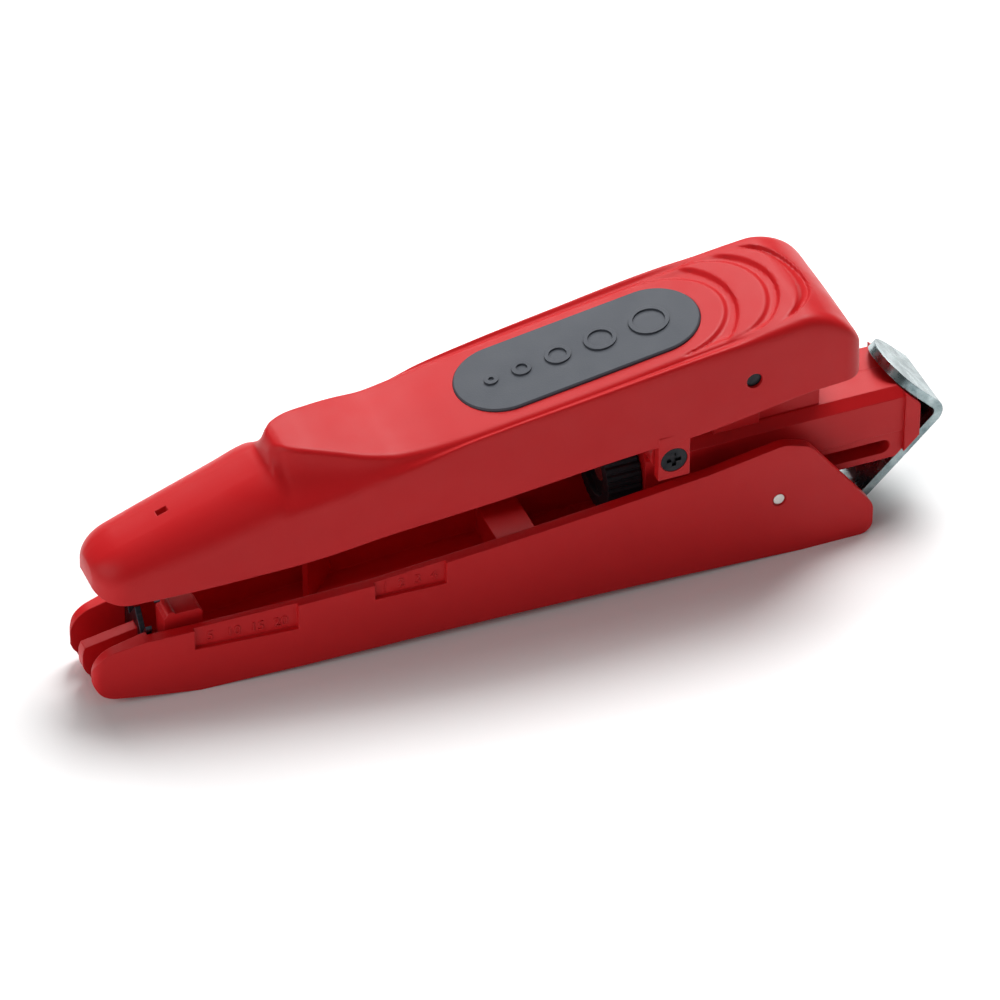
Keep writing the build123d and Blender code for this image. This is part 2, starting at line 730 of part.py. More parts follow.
def swivel_pin():
    return rod_y(swivel_pin_x, swivel_pin_z(), swivel_pin_r, -carriage_half, carriage_half)


def blade_holder():
    rear = carriage_front + carriage_length
    body = rod_x(journal_front, rear + 0.3, journal_r)
    groove = rod_x(swivel_pin_x - 0.9, swivel_pin_x + 0.9, 5) - rod_x(
        swivel_pin_x - 1, swivel_pin_x + 1, journal_r - swivel_groove)
    body = body - groove + rod_x(rear + 0.3, rear + 4.6, disc_r)
    return body - block(blade_front, beyond, -blade_thick / 2, blade_thick / 2,
                        knife_z - blade_half, knife_z + blade_half)


def knife_blade():
    """Small blade with a slanting edge that trails behind its swivel axis."""
    points = [(blade_front, -blade_half), (blade_tip - 2.5, -blade_half), (blade_tip, -1.5),
              (blade_tip - 0.2, -0.9), (blade_tip - 3.3, blade_half), (blade_front, blade_half)]
    return side_profile([(x, knife_z + z) for x, z in points], blade_thick / 2)


def write(name, shape):
    """Save one piece; a list of solids becomes one group."""
    if isinstance(shape, list):
        shape = Compound(children=[s.solid() if hasattr(s, "solid") else s for s in shape])
    export_step(shape, os.path.join("parts", name + ".step"))


def main():
    os.makedirs("parts", exist_ok=True)
    pieces = {
        "lower_handle": lower_handle(),
        "hinge_pins": hinge_pins(),
        "lower_wire_blade": wire_blade(jaw_back, lower_floor, lower_tips),
        "opening_spring": opening_spring(),
        "length_stop": length_stop(),
        "upper_handle": upper_handle(),
        "badge_insert": badge_insert(),
        "upper_wire_blade": wire_blade(upper_blade_x, upper_blade_base, upper_tips),
        "knife_body_left": knife_body_left(),
        "knife_body_right": knife_body_right(),
        "handle_screws": handle_screws(),
        "shell_screws": shell_screws(),
        "handle_pin": rod_y(pin_x, pin_z, pin_r, -16.0, 16.0),
        "spring_anchor_pin": spring_anchor_pin(),
        "hook": hook(),
        "hook_slider": hook_slider(),
        "hook_rivets": hook_rivets(),
        "hook_guide_pin": hook_guide_pin(),
        "hook_spring": hook_spring(),
        "depth_wheel": depth_wheel(),
        "depth_spindle": depth_spindle(),
        "blade_carriage": blade_carriage(),
        "swivel_pin": swivel_pin(),
        "blade_holder": blade_holder(),
        "knife_blade": knife_blade(),
    }
    for name, shape in pieces.items():
        write(name, shape)


main()
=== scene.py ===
import json
import math

import bpy
from mathutils import Matrix, Vector

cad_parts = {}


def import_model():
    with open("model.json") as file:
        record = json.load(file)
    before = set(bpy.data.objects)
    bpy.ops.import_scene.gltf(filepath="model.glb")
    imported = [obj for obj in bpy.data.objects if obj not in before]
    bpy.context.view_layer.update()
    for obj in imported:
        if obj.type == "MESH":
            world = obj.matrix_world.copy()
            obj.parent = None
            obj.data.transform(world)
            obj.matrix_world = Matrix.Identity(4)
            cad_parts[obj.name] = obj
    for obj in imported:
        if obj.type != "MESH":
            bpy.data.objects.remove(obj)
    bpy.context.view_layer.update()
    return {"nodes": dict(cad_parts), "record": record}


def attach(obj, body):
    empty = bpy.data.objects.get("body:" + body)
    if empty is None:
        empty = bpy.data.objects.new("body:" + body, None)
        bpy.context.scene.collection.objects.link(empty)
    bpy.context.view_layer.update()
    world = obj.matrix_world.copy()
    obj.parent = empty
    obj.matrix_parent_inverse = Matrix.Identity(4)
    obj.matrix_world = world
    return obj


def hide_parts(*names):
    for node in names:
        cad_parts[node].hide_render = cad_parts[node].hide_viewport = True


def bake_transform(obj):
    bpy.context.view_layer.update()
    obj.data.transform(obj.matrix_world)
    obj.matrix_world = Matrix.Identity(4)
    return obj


MM = 0.001

# Upper handle sections, in millimetres: x, half width, top of the side, then the shoulder's rise, the
# half width and height of its foot, the half width of the flat top, and the top
STATIONS = [
    (-93.4, 8.4, 29.0, 32.2, 5.6, 34.4, 2.0, 34.6),
    (-88.0, 9.3, 29.8, 33.6, 6.0, 36.3, 2.1, 36.5),
    (-79.3, 10.3, 32.1, 36.2, 6.6, 39.2, 2.2, 39.4),
    (-70.5, 11.2, 34.0, 38.7, 7.1, 42.2, 2.2, 42.4),
    (-61.7, 11.9, 36.8, 41.5, 7.4, 45.2, 2.2, 45.4),
    (-57.0, 12.3, 38.6, 43.2, 7.5, 46.8, 2.2, 47.0),
    (-54.6, 12.5, 39.2, 43.9, 7.0, 47.2, 2.2, 48.0),
    (-53.6, 12.6, 39.3, 44.0, 6.0, 46.2, 2.4, 50.9),
    (-52.4, 12.7, 39.5, 44.2, 5.6, 44.6, 3.6, 52.4),
    (-50.8, 12.8, 39.7, 44.4, 6.6, 43.8, 5.1, 52.8),
    (-47.9, 13.0, 40.0, 44.6, 8.0, 43.8, 6.7, 52.7),
    (-41.5, 13.5, 41.0, 45.4, 10.0, 44.2, 8.9, 51.7),
    (-35.0, 13.9, 42.0, 46.4, 11.8, 44.9, 10.8, 50.4),
    (-28.2, 14.4, 43.0, 48.0, 12.8, 45.6, 11.8, 49.5),
    (-22.0, 14.8, 44.4, 50.2, 13.4, 46.6, 12.5, 49.9),
    (-14.0, 15.2, 46.2, 53.2, 13.9, 48.2, 13.0, 51.0),
    (14.0, 16.3, 50.6, 58.4, 14.3, 52.4, 13.3, 55.1),
    (42.0, 17.0, 54.8, 62.0, 14.3, 56.8, 13.2, 59.4),
    (50.0, 17.0, 55.6, 61.0, 15.0, 59.6, 12.8, 60.6),
    (60.0, 17.0, 56.4, 61.0, 15.4, 61.6, 12.4, 61.8),
    (72.6, 17.0, 57.2, 62.2, 15.4, 63.0, 12.0, 63.2),
]
SKIRT = [
    (-94.6, 25.6), (-85.3, 25.9), (-51.3, 28.1), (-29.3, 31.5), (-7.3, 34.2), (14.7, 37.2),
    (26.7, 38.5), (35.0, 39.2), (49.0, 41.4), (60.0, 43.2), (70.0, 44.0), (75.6, 45.0),
]
NOSE_END, NOSE_ROUND, NOSE_MIDDLE, NOSE_BLUNT = -93.4, 7.0, 30.5, 0.3
REAR_END, REAR_ROUND, REAR_TOP_ROUND, REAR_MIDDLE = 72.6, 4.5, 13.5, 50.2
END_POWER, REAR_TOP_POWER = 2.2, 1.6
SHELL_FRONT, SHELL_REAR = -93.1, 72.3
CAVITY_FRONT, CAVITY_REAR = -86.0, 70.2
WALL, SIDE_DRAFT, CROWN, EDGE_ROUND = 2.2, 0.045, 0.35, 1.3
MOST_CUT_BACK = 0.35
HIGHEST = 61.69

# How much of the wall the inner skin's shoulder and its rise are inset by
SHOULDER_SHARE, RISE_SHARE = 0.7, 0.9

# Where the mesh has its cross-sections: first x, last x and step of each stretch
SHELL_STRETCHES = [(-92.1, -86.0, 0.5), (-85.2, -57.5, 0.9), (-57.0, -48.0, 0.25), (-47.5, 27.0, 0.75),
                   (27.4, 67.0, 0.4), (67.3, 71.8, 0.3)]
SHELL_ENDS = ([SHELL_FRONT, -93.0, -92.8, -92.5], [72.0, 72.15, SHELL_REAR])
CAVITY_STRETCHES = [(CAVITY_FRONT, 60.0, 3.0), (61.0, CAVITY_REAR, 0.8)]

# Points along the bottom, the side, the shoulder, the rounded edge and the top of one section
OUTER_COUNTS = (10, 10, 22, 8, 28)
INNER_COUNTS = (6, 6, 12, 3, 10)

# Sloping back: badge centre, slope and pocket
SLOPE_X, SLOPE_Z, SLOPE = 14.8, 55.25, 0.152
BADGE_LENGTH, BADGE_WIDTH, BADGE_RECESS, BADGE_GAP = 54.0, 20.5, 0.9, 0.08
CUTTER_TOP, HALF_TURN_STEPS = 6, 32

# Grooves that ripple behind the badge: apex and bow of the inner and the outer arc, and the depth
RIPPLES = [
    (46.9, 13.5, 49.2, 17.0, 0.75),
    (56.0, 11.5, 58.5, 15.0, 0.75),
    (63.0, 10.5, 65.6, 14.0, 0.9),
]
PANEL_HALF, PANEL_GROWTH = 12.6, 0.5
RIPPLE_HALF, RIPPLE_FADE = 11.2, 2.6
RIPPLE_INTO, RIPPLE_IN_LENGTH = 0.6, 1.5
RIPPLE_OUT_OF, RIPPLE_OUT_LENGTH = 0.35, 0.7
RIPPLE_ABOVE_SKIRT = 4

# Holes, ears and ribs of the upper handle
NOSE_HOLE = ((-77.6, -0.8, 36), (-75.2, 0.8, 44))
PIN_X, PIN_Z, PIN_HOLE_R, PIN_HOLE_LENGTH = 47.6, 49.6, 1.75, 60
EAR_OUTER, EAR_X, EAR_Z = 16.75, (26.3, 33.3), (29.6, 40.5)
SCREW_X, SCREW_Z, SCREW_HOLE_R, SCREW_HOLE_LENGTH = 29.8, 34.2, 1.6, 12
SEAT_R, SEAT_DEPTH, SEAT_BEYOND = 3.0, 1.3, 2
RIBS = [(-82.6, -81.0, 29.8), (-79.8, -78.0, 30.0)]
RIB_Y, RIB_HALF, RIB_TOP = 4.6, 2, 36.4
GUSSET = [(-5.6, 50.2), (-2.2, 50.2), (-2.2, 33.6), (-3.0, 31.6)]
GUSSET_Y = (0.5, 8.5)
RIB_EDGE = 0.25

# Windows of the lower handle: front, rear, low edge, first number and step
WINDOWS = [(-73.8, -51.8, 11.0, 5, 5), (-35.2, -19.6, 14.2, 1, 1)]
NUMBERS, FIRST_GAP, ALL_GAPS = 4, 0.7, 0.4
NUMBER_SIZE, NUMBER_HEIGHT, NUMBER_RISE, WINDOW_RECESS = 3.2, 0.12, 1.2, 1.0
LOWER_HALF = [(-95.1, 8.2), (-83.0, 9.8), (-73.0, 10.8), (-51.0, 12.5), (-34.0, 13.3), (-6.0, 14.2)]

# Plastics by slot: name, two colours, roughness, strength of the grain and radius of the edges in metres
PLASTICS = {
    "red_plastic": ("red_moulded_plastic", (0.62, 0.010, 0.013), (0.56, 0.008, 0.011), 0.42, 0.35, 0.0003),
    "badge_plastic": ("grey_badge_plastic", (0.084, 0.092, 0.108), (0.068, 0.076, 0.092), 0.5, 0.5, 0.00012),
    "black_plastic": ("black_wheel_plastic", (0.016, 0.016, 0.02), (0.010, 0.010, 0.013), 0.5, 0.4, 0.0003),
}

# Metals by slot: name, two colours, least and most roughness, scale, strength of the grain and stretch
METALS = {
    "zinc_steel": ("zinc_plated_steel", (0.42, 0.50, 0.51), (0.09, 0.14, 0.15), 0.2, 0.36, 190, 0.12, None),
    "dark_steel": ("blued_blade_steel", (0.10, 0.11, 0.13), (0.05, 0.055, 0.07), 0.25, 0.4, 300, 0.2,
                   (1, 8, 1)),
    "pin_steel": ("bright_pin_steel", (0.66, 0.65, 0.62), (0.50, 0.49, 0.47), 0.25, 0.42, 500, 0.2, None),
    "black_screw": ("blackened_screw_steel", (0.035, 0.037, 0.04), (0.016, 0.017, 0.02), 0.35, 0.55, 500, 0.3,
                    None),
    "spring_steel": ("spring_steel", (0.5, 0.5, 0.5), (0.36, 0.36, 0.37), 0.28, 0.42, 500, 0.2, None),
    "brass": ("turned_brass", (0.72, 0.53, 0.24), (0.62, 0.43, 0.18), 0.25, 0.4, 300, 0.2, (8, 1, 1)),
}
METAL_EDGE = 0.0002

# Lamps: name, place and size in metres, power in watts
LAMP_AIM = (0, 0, 0.03)
LAMPS = [
    ("key_softbox", (0.42, 0.45, 1.12), (0.6, 0.6), 13.5),
    ("back_softbox", (0.3, 1.2, 0.85), (1.2, 0.5), 8.5),
    ("side_fill", (-1.05, -0.25, 0.55), (1.0, 0.8), 4.5),
]
WORLD_STRENGTH = 0.15
FLOOR_SIZE = 8

# Painted light on the floor that fades the object's shadow out sooner: where it starts and is full, in
# metres, its strength and how far it reaches along x
GLOW_START, GLOW_FULL, GLOW_STRENGTH, GLOW_SQUEEZE = 0.03, 0.062, 0.36, (0.3, 1, 1)

# Camera that matches the photograph
AZIMUTH, ELEVATION = 22.0, 39.0
AIM = (1.9, 10.2, 11.8)
DISTANCE, LENS = 1470.0, 252.0
SENSOR_WIDTH, CLIP_END = 36, 20


def along(table, x):
    """Value at x of a smooth curve through the (x, value) pairs, with no overshoot."""
    xs = [row[0] for row in table]
    ys = [row[1] for row in table]
    steps = [(ys[i + 1] - ys[i]) / (xs[i + 1] - xs[i]) for i in range(len(xs) - 1)]
    slopes = [steps[0]]
    for before, after in zip(steps, steps[1:]):
        slopes.append(2 * before * after / (before + after) if before * after > 0 else 0.0)
    slopes.append(steps[-1])
    i = max(k for k in range(len(xs) - 1) if k == 0 or x >= xs[k])
    width = xs[i + 1] - xs[i]
    t = (x - xs[i]) / width
    rise = ys[i + 1] - ys[i]
    bend = slopes[i] * width * t * (1 - t) ** 2 - slopes[i + 1] * width * t * t * (1 - t)
    return ys[i] + rise * t * t * (3 - 2 * t) + bend


def round_end(x, end, length, power):
    """Scale, from 1 down to 0, that rounds an end off over its last stretch."""
    t = max(0.0, 1 - abs(x - end) / length)
    return (1 - t ** power) ** (1 / power)


def smooth(t):
    t = min(1.0, max(0.0, t))
    return t * t * (3 - 2 * t)


# Material building blocks

def new_material(name):
    material = bpy.data.materials.new(name)
    material.use_nodes = True
    tree = material.node_tree
    return material, tree, tree.nodes["Principled BSDF"]


def add(tree, kind, **inputs):
    """New node with its inputs set, where an underscore stands for a space."""
    node = tree.nodes.new(kind)
    for key, value in inputs.items():
        node.inputs[key.replace("_", " ")].default_value = value
    return node


def combine(tree, kind, operation, first, second):
    """Math or vector math node that combines two sockets."""
    node = tree.nodes.new(kind)
    node.operation = operation
    tree.links.new(first, node.inputs[0])
    tree.links.new(second, node.inputs[1])
    return node.outputs["Value"]


def map_range(tree, source, from_low, from_high, low, high):
    node = add(tree, "ShaderNodeMapRange", From_Min=from_low, From_Max=from_high, To_Min=low, To_Max=high)
    tree.links.new(source, node.inputs["Value"])
    return node.outputs["Result"]


def noise(tree, scale, detail=4.0, roughness=0.55, stretch=None):
    """Noise in the object's own space; stretch squeezes it along an axis."""
    place = tree.nodes.new("ShaderNodeTexCoord")
    texture = add(tree, "ShaderNodeTexNoise", Scale=scale, Detail=detail, Roughness=roughness)
    source = place.outputs["Object"]
    if stretch:
        mapping = add(tree, "ShaderNodeMapping", Scale=stretch)
        tree.links.new(source, mapping.inputs["Vector"])
        source = mapping.outputs["Vector"]
    tree.links.new(source, texture.inputs["Vector"])
    return texture.outputs["Fac"]


def spread(tree, source, low, high):
    """Maps noise to a band of values."""
    return map_range(tree, source, 0.3, 0.7, low, high)


def mix_colours(tree, factor, first, second):
    node = tree.nodes.new("ShaderNodeMix")
    node.data_type = "RGBA"
    tree.links.new(factor, node.inputs[0])
    node.inputs[6].default_value = (*first, 1)
    node.inputs[7].default_value = (*second, 1)
    return node.outputs[2]


def rounded_normal(tree, radius):
    node = add(tree, "ShaderNodeBevel", Radius=radius)
    node.samples = 6
    return node.outputs["Normal"]


def bump(tree, shader, source, strength, distance, edge):
    """Surface relief over softly rounded edges."""
    node = add(tree, "ShaderNodeBump", Strength=strength, Distance=distance)
    tree.links.new(source, node.inputs["Height"])
    tree.links.new(rounded_normal(tree, edge), node.inputs["Normal"])
    tree.links.new(node.outputs["Normal"], shader.inputs["Normal"])


def rubbed_edges(tree, radius):
    """Mask for a painted highlight, strong in patches along the edges, where the rounded normal turns away
    from the flat one.
    """
    flat = tree.nodes.new("ShaderNodeNewGeometry")
    facing = combine(tree, "ShaderNodeVectorMath", "DOT_PRODUCT", rounded_normal(tree, radius),
                     flat.outputs["Normal"])
    turned = map_range(tree, facing, 0.97, 0.75, 0.0, 0.8)
    patches = spread(tree, noise(tree, 420, 4, 0.6), 0.15, 1.0)
    return combine(tree, "ShaderNodeMath", "MULTIPLY", turned, patches)


def moulded_plastic(name, light, dark, roughness, grain, edge):
    """Injection-moulded plastic with a fine eroded texture, faint flow marks and a painted highlight in
    patches along the edges.
    """
    material, tree, shader = new_material(name)
    flow = noise(tree, 38, 3, 0.5, (0.35, 1, 1))
    body = mix_colours(tree, spread(tree, flow, 0, 1), light, dark)
    # Painted highlight: a lighter colour in patches along the edges
    highlight_colour = tuple(min(1.0, channel * 1.1 + 0.05) for channel in light)
    with_highlight = mix_colours(tree, rubbed_edges(tree, edge), light, highlight_colour)
    tree.links.new(body, with_highlight.node.inputs[6])
    tree.links.new(with_highlight, shader.inputs["Base Color"])
    shine = spread(tree, noise(tree, 160, 4), roughness - 0.05, roughness + 0.06)
    tree.links.new(shine, shader.inputs["Roughness"])
    bump(tree, shader, noise(tree, 2600, 5, 0.6), grain, 0.00006, edge)
    shader.inputs["Specular IOR Level"].default_value = 0.22
    return material


def metal(name, light, dark, rough_low, rough_high, scale, grain, stretch):
    """Metal with patchy colour, uneven shine and fine marks."""
    material, tree, shader = new_material(name)
    patches = noise(tree, scale, 5, 0.65, stretch)
    shine = noise(tree, scale * 2.3, 4)
    tree.links.new(mix_colours(tree, spread(tree, patches, 0, 1), light, dark), shader.inputs["Base Color"])
    tree.links.new(spread(tree, shine, rough_low, rough_high), shader.inputs["Roughness"])
    shader.inputs["Metallic"].default_value = 1.0
    bump(tree, shader, noise(tree, scale * 9, 4, 0.6, stretch), grain, 0.00004, METAL_EDGE)
    return material


def make_materials():
    materials = {slot: moulded_plastic(*look) for slot, look in PLASTICS.items()}
    materials.update({slot: metal(*look) for slot, look in METALS.items()})
    return materials


# Upper handle sections

def shell_section(x, inset=0.0, counts=OUTER_COUNTS):
    """Points round one closed cross-section of the upper handle, from the near bottom edge over the top."""
    nose = round_end(x, NOSE_END, NOSE_ROUND, END_POWER) if x < 0 else 1.0
    tail = round_end(x, REAR_END, REAR_ROUND, END_POWER) if x > 0 else 1.0
    half, side_top, rise, foot_half, foot, flat, top = (
        along([(row[0], row[k]) for row in STATIONS], x) for k in range(1, 8))
    base = NOSE_MIDDLE if x < 0 else REAR_MIDDLE
    if x < 0:
        lift = NOSE_BLUNT + (1 - NOSE_BLUNT) * nose
    else:
        lift = round_end(x, REAR_END, REAR_TOP_ROUND, REAR_TOP_POWER)
    narrow = 1 - (NOSE_ROUND * (1 - nose) + REAR_ROUND * (1 - tail) + inset) / half
    skirt = along(SKIRT, x)
    low = (base + (skirt - base) * lift if x < 0 else skirt) - inset
    shoulder = base + (side_top - base) * lift - SHOULDER_SHARE * inset
    crest = base + (top - base) * lift - inset
    edge = crest - CROWN * flat / half
    side = half * narrow - SIDE_DRAFT * (shoulder - low)
    bend = [
        Vector((side, shoulder)),
        Vector((side, base + (rise - base) * lift - RISE_SHARE * inset)),
        Vector((foot_half * narrow, base + (foot - base) * lift - inset)),
        Vector((flat * narrow, edge)),
    ]
    return ring_points(half * narrow, low, bend, crest, counts)


def bezier(points, t):
    weights = ((1 - t) ** 3, 3 * t * (1 - t) ** 2, 3 * t * t * (1 - t), t ** 3)
    return sum((w * p for w, p in zip(weights, points)), Vector((0, 0)))


def ring_points(half, low, bend, crest, counts):
    """One section as a ring: bottom, side, swept shoulder, rounded edge and crowned top, mirrored."""
    below, upright, turn, round_off, over = counts
    side, shoulder = bend[0]
    flat, edge = bend[3]
    cut_back = min(MOST_CUT_BACK, EDGE_ROUND / (3 * (bend[3] - bend[2]).length))
    in_from_edge = flat - min(EDGE_ROUND, 0.5 * flat)
    landing = Vector((in_from_edge, crest - (crest - edge) * (in_from_edge / flat) ** 2))
    right = []
    for i in range(upright):
        right.append((half + (side - half) * i / upright, low + (shoulder - low) * i / upright))
    right += [tuple(bezier(bend, (1 - cut_back) * i / turn)) for i in range(turn)]
    start = bezier(bend, 1 - cut_back)
    for i in range(round_off):
        t = i / round_off
        right.append(tuple((1 - t) ** 2 * start + 2 * t * (1 - t) * bend[3] + t * t * landing))
    for i in range(over):
        y = in_from_edge * (1 - i / over)
        right.append((y, crest - (crest - edge) * (y / flat) ** 2))
    under = [(half * (2 * i / below - 1), low) for i in range(1, below)]
    return [(-y, z) for y, z in right] + [(0.0, crest)] + right[::-1] + [(-y, z) for y, z in under]


def curve_x(apex, bow, half, y):
    """X of an arc that bows to the rear, at y across the handle."""
    return apex - bow * (1 - math.sqrt(max(0.0, 1 - min(1.0, abs(y) / half) ** 2)))


def relief(x, y):
    """Depth of the ripples moulded behind the badge panel."""
    depth = 0.0
    fade = 1 - smooth((abs(y) - RIPPLE_HALF) / RIPPLE_FADE)
    for number, (inner_apex, inner_bow, outer_apex, outer_bow, deepest) in enumerate(RIPPLES):
        start = curve_x(inner_apex, inner_bow, PANEL_HALF + PANEL_GROWTH * number, y)
        stop = curve_x(outer_apex, outer_bow, outer_bow, y)
        if stop <= start:
            continue
        into = smooth((x - start + RIPPLE_INTO) / RIPPLE_IN_LENGTH)
        out_of = 1 - smooth((x - stop + RIPPLE_OUT_OF) / RIPPLE_OUT_LENGTH)
        depth = max(depth, deepest * (into * out_of) * fade)
    return depth


def rippled_section(x):
    above = along(SKIRT, x) + RIPPLE_ABOVE_SKIRT
    return [(y, min(z, HIGHEST) - relief(x, y) if z > above else z) for y, z in shell_section(x)]


def inner_section(x):
    return shell_section(x, WALL, INNER_COUNTS)


# Meshes, in millimetres

def mesh_object(name, points, faces):
    mesh = bpy.data.meshes.new(name)
    mesh.from_pydata([tuple(value * MM for value in point) for point in points], [], faces)
    obj = bpy.data.objects.new(name, mesh)
    bpy.context.scene.collection.objects.link(obj)
    return obj


def spaced(start, stop, step):
    count = max(1, round((stop - start) / step))
    return [start + (stop - start) * i / count for i in range(count + 1)]


def places(stretches):
    return [x for start, stop, step in stretches for x in spaced(start, stop, step)]


def lofted(name, xs, section):
    """Closed mesh through the cross-sections at xs, with flat ends."""
    rings = [section(x) for x in xs]
    points = [(x, y, z) for x, ring in zip(xs, rings) for y, z in ring]
    size = len(rings[0])
    faces = []
    for i in range(len(xs) - 1):
        for j in range(size):
            k = (j + 1) % size
            faces.append((i * size + j, (i + 1) * size + j, (i + 1) * size + k, i * size + k))
    faces.append(tuple(range(size)))
    faces.append(tuple((len(xs) - 1) * size + j for j in reversed(range(size))))
    return mesh_object(name, points, faces)


def box_mesh(name, low, high):
    """Box between two corners."""
    points = [(x, y, z) for x in (low[0], high[0]) for y in (low[1], high[1]) for z in (low[2], high[2])]
    faces = [(0, 1, 3, 2), (4, 6, 7, 5), (0, 4, 5, 1), (2, 3, 7, 6), (0, 2, 6, 4), (1, 5, 7, 3)]
    return mesh_object(name, points, faces)


def rod_mesh(name, centre, radius, length, segments=48):
    """Round rod along y."""
    bpy.ops.mesh.primitive_cylinder_add(vertices=segments, radius=radius * MM, depth=length * MM)
    obj = bpy.context.object
    obj.name = name
    turn = Vector((0, 0, 1)).rotation_difference(Vector((0, 1, 0))).to_matrix().to_4x4()
    obj.data.transform(Matrix.Translation(Vector(centre) * MM) @ turn)
    return obj


def badge_cutter():
    """Badge pocket: a slot shape standing on the sloping back."""
    half = (BADGE_LENGTH - BADGE_WIDTH) / 2
    radius = BADGE_WIDTH / 2 + BADGE_GAP
    ring = []
    for end, start in ((1, -90), (-1, 90)):
        for i in range(HALF_TURN_STEPS + 1):
            angle = math.radians(start + 180 * i / HALF_TURN_STEPS)
            ring.append((end * half + radius * math.cos(angle), radius * math.sin(angle)))
    size = len(ring)
    points = [(x, y, z) for z in (-BADGE_RECESS, CUTTER_TOP) for x, y in ring]
    faces = [(i, (i + 1) % size, size + (i + 1) % size, size + i) for i in range(size)]
    faces += [tuple(reversed(range(size))), tuple(range(size, 2 * size))]
    obj = mesh_object("badge_cutter", points, faces)
    tilt = Matrix.Rotation(-math.atan(SLOPE), 4, "Y")
    obj.data.transform(Matrix.Translation(Vector((SLOPE_X, 0, SLOPE_Z)) * MM) @ tilt)
    return obj


def apply_modifiers(obj):
    graph = bpy.context.evaluated_depsgraph_get()
    mesh = bpy.data.meshes.new_from_object(obj.evaluated_get(graph))
    obj.modifiers.clear()
    obj.data = mesh


def cut(obj, cutters, operation="DIFFERENCE"):
    for cutter in cutters:
        change = obj.modifiers.new("cut", "BOOLEAN")
        change.operation = operation
        change.solver = "EXACT"
        change.object = cutter
        apply_modifiers(obj)
        bpy.data.objects.remove(cutter)


def shade(obj, angle=35.0):
    mesh = obj.data
    mesh.shade_smooth()
    mesh.set_sharp_from_angle(angle=math.radians(angle))


# Upper handle

def upper_handle(material):
    first, last = SHELL_ENDS
    obj = lofted("upper_handle_shell", first + places(SHELL_STRETCHES) + last, rippled_section)
    cut(obj, [
        lofted("hollow", places(CAVITY_STRETCHES), inner_section),
        badge_cutter(),
        box_mesh("nose_hole", *NOSE_HOLE),
        rod_mesh("pin_hole", (PIN_X, 0, PIN_Z), PIN_HOLE_R, PIN_HOLE_LENGTH),
    ])
    for way in (-1, 1):
        cut(obj, [ear(way)], "UNION")
    shade(obj)
    obj.data.materials.clear()
    obj.data.materials.append(material)
    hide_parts("upper_handle")
    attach(obj, "upper")
    inner_ribs(material)


def ear(way):
    """Ear of the skirt with its counterbored screw hole."""
    ends = sorted((way * (EAR_OUTER - WALL), way * EAR_OUTER))
    obj = box_mesh("ear", (EAR_X[0], ends[0], EAR_Z[0]), (EAR_X[1], ends[1], EAR_Z[1]))
    seat = sorted((way * (EAR_OUTER - SEAT_DEPTH), way * (EAR_OUTER + SEAT_BEYOND)))
    middle = (seat[0] + seat[1]) / 2
    cut(obj, [
        rod_mesh("counterbore", (SCREW_X, middle, SCREW_Z), SEAT_R, seat[1] - seat[0]),
        rod_mesh("screw_hole", (SCREW_X, way * EAR_OUTER, SCREW_Z), SCREW_HOLE_R, SCREW_HOLE_LENGTH),
    ])
    return obj


def inner_ribs(material):
    """Ribs in the nose that hold the upper wire blade, and the gusset under the grip."""
    parts = []
    for front, rear, low in RIBS:
        for way in (-1, 1):
            near, far = way * RIB_Y - RIB_HALF, way * RIB_Y + RIB_HALF
            parts.append(box_mesh("rib", (front, near, low), (rear, far, RIB_TOP)))
    points = [(x, y, z) for y in GUSSET_Y for x, z in GUSSET]
    faces = [(3, 2, 1, 0), (4, 5, 6, 7), (1, 5, 4, 0), (2, 6, 5, 1), (3, 7, 6, 2), (0, 4, 7, 3)]
    parts.append(mesh_object("gusset", points, faces))
    for number, part in enumerate(parts):
        part.name = "inner_rib_%d" % number
        soften = part.modifiers.new("edges", "BEVEL")
        soften.width = RIB_EDGE * MM
        soften.segments = 2
        part.data.materials.append(material)
        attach(part, "upper")


# Springs

def stretching_spring(frame, node):
    """A copy of the spring from the model, baked in place where the model puts it; the model's own spring is
    hidden.
    """
    source = frame["nodes"][node]
    spring = source.copy()
    spring.data = source.data.copy()
    spring.name = node + "_coil"
    bpy.context.scene.collection.objects.link(spring)
    place = source.matrix_world.copy()
    spring.parent = None
    spring.matrix_world = place
    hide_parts(node)
    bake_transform(spring)


def springs(frame):
    """The opening spring stands on the lower handle, and the hook spring pulls the slider to the front."""
    stretching_spring(frame, "opening_spring")
    stretching_spring(frame, "hook_spring")


# Marks on the lower handle

def scale_marks(material):
    """Raised plain numbers in the two window recesses, on both sides."""
    for front, rear, low, first, step in WINDOWS:
        for way in (-1, 1):
            for i in range(NUMBERS):
                x = front + (rear - front) * (i + FIRST_GAP) / (NUMBERS + ALL_GAPS)
                number_on_wall(first + step * i, x, way, low + NUMBER_RISE, material)


def number_on_wall(value, x, way, z, material):
    text = bpy.data.curves.new("scale_number", "FONT")
    text.body = str(value)
    text.size = NUMBER_SIZE * MM
    text.extrude = NUMBER_HEIGHT * MM
    text.align_x = "CENTER"
    obj = bpy.data.objects.new("scale_number_%d_%s" % (value, "near" if way < 0 else "far"), text)
    bpy.context.scene.collection.objects.link(obj)
    y = way * (along(LOWER_HALF, x) - WINDOW_RECESS)
    lean = math.atan2(along(LOWER_HALF, x + 1) - along(LOWER_HALF, x - 1), 2.0)
    spin = -lean if way < 0 else math.pi + lean
    upright = Matrix.Rotation(spin, 4, "Z") @ Matrix.Rotation(math.pi / 2, 4, "X")
    obj.matrix_world = Matrix.Translation(Vector((x, y, z)) * MM) @ upright
    obj.data.materials.append(material)
    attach(obj, "base")


# Stage

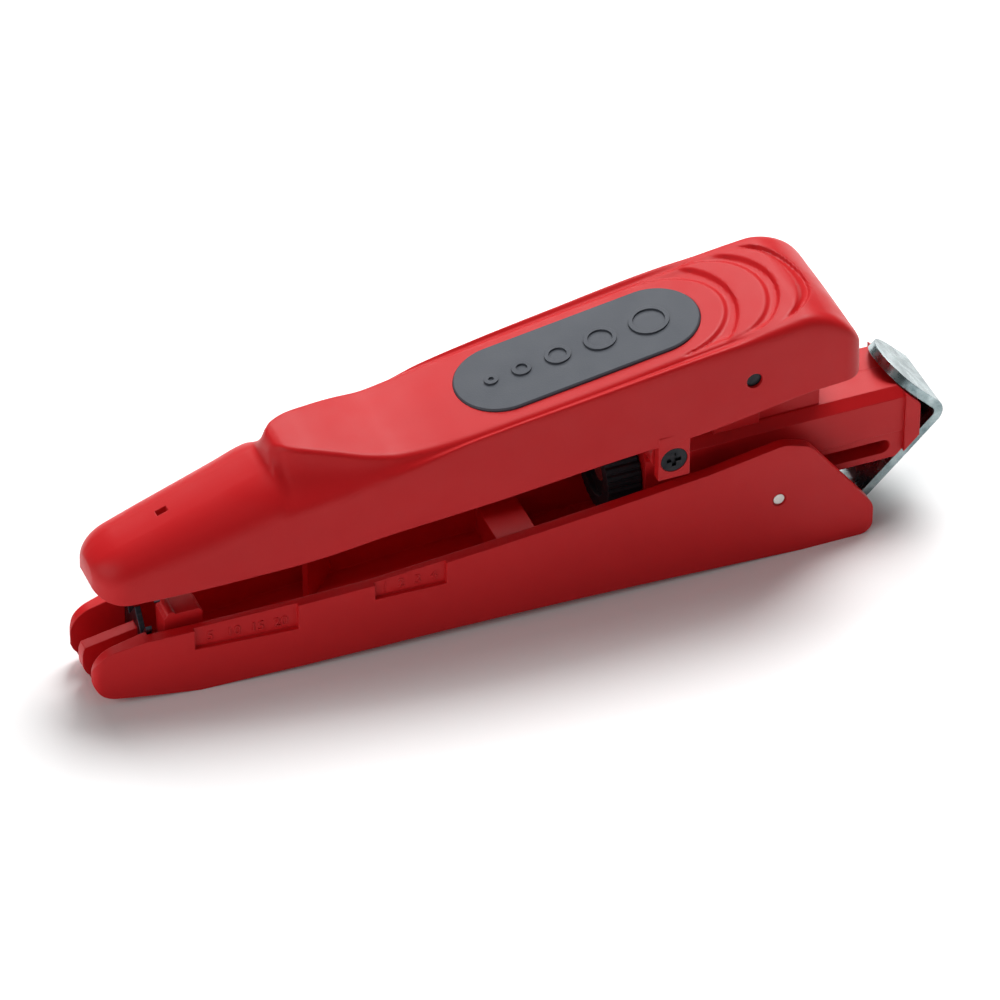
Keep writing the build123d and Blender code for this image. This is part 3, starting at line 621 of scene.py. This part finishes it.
def glow_away_from_object(tree, shader):
    """Painted light: a glow on the sweep that grows with distance from the object, so that its shadow fades
    out sooner, as the camera and the steel see it.
    """
    place = tree.nodes.new("ShaderNodeTexCoord")
    squeeze = add(tree, "ShaderNodeMapping", Scale=GLOW_SQUEEZE)
    tree.links.new(place.outputs["Object"], squeeze.inputs["Vector"])
    length = tree.nodes.new("ShaderNodeVectorMath")
    length.operation = "LENGTH"
    tree.links.new(squeeze.outputs["Vector"], length.inputs[0])
    glow = map_range(tree, length.outputs["Value"], GLOW_START, GLOW_FULL, 0.0, GLOW_STRENGTH)
    rays = tree.nodes.new("ShaderNodeLightPath")
    seen = rays.outputs["Is Camera Ray"]
    for kind in ("Is Glossy Ray", "Is Transmission Ray"):
        seen = combine(tree, "ShaderNodeMath", "MAXIMUM", seen, rays.outputs[kind])
    strength = combine(tree, "ShaderNodeMath", "MULTIPLY", glow, seen)
    shader.inputs["Emission Color"].default_value = (1, 1, 1, 1)
    tree.links.new(strength, shader.inputs["Emission Strength"])


def floor_material():
    material, tree, shader = new_material("white_sweep")
    tone = spread(tree, noise(tree, 4, 2), 0.93, 0.97)
    grey = tree.nodes.new("ShaderNodeCombineColor")
    for channel in ("Red", "Green", "Blue"):
        tree.links.new(tone, grey.inputs[channel])
    tree.links.new(grey.outputs["Color"], shader.inputs["Base Color"])
    shader.inputs["Roughness"].default_value = 0.9
    shader.inputs["Specular IOR Level"].default_value = 0.1
    # Painted light on the sweep that fades the object's shadow out sooner
    glow_away_from_object(tree, shader)
    return material


def area_light(name, place, size, power):
    lamp = bpy.data.lights.new(name, "AREA")
    lamp.shape = "RECTANGLE"
    lamp.size, lamp.size_y = size
    lamp.energy = power
    obj = bpy.data.objects.new(name, lamp)
    obj.location = place
    obj.rotation_euler = (Vector(LAMP_AIM) - Vector(place)).to_track_quat("-Z", "Y").to_euler()
    bpy.context.scene.collection.objects.link(obj)


def stage():
    bpy.ops.mesh.primitive_plane_add(size=FLOOR_SIZE)
    floor = bpy.context.object
    floor.name = "white_floor"
    floor.data.materials.append(floor_material())
    world = bpy.data.worlds.new("studio")
    bpy.context.scene.world = world
    world.use_nodes = True
    background = world.node_tree.nodes["Background"]
    background.inputs["Color"].default_value = (1, 1, 1, 1)
    background.inputs["Strength"].default_value = WORLD_STRENGTH
    for lamp in LAMPS:
        area_light(*lamp)


def camera():
    azimuth, elevation = math.radians(AZIMUTH), math.radians(ELEVATION)
    level = math.cos(elevation)
    look = Vector((math.sin(azimuth) * level, math.cos(azimuth) * level, -math.sin(elevation)))
    data = bpy.data.cameras.new("camera")
    data.lens = LENS
    data.sensor_width = SENSOR_WIDTH
    data.clip_end = CLIP_END
    obj = bpy.data.objects.new("camera", data)
    obj.location = (Vector(AIM) - DISTANCE * look) * MM
    obj.rotation_euler = look.to_track_quat("-Z", "Y").to_euler()
    bpy.context.scene.collection.objects.link(obj)
    bpy.context.scene.camera = obj


def paint_frame(frame, materials):
    slots = {part["node"]: part["material_slot"] for part in frame["record"]["subparts"]}
    for name, obj in frame["nodes"].items():
        obj.data.materials.clear()
        obj.data.materials.append(materials[slots[name]])
        for polygon in obj.data.polygons:
            polygon.material_index = 0


def main():
    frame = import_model()
    materials = make_materials()
    paint_frame(frame, materials)
    upper_handle(materials["red_plastic"])
    scale_marks(materials["red_plastic"])
    springs(frame)
    stage()
    camera()
    bpy.context.scene.view_settings.view_transform = "Standard"


main()
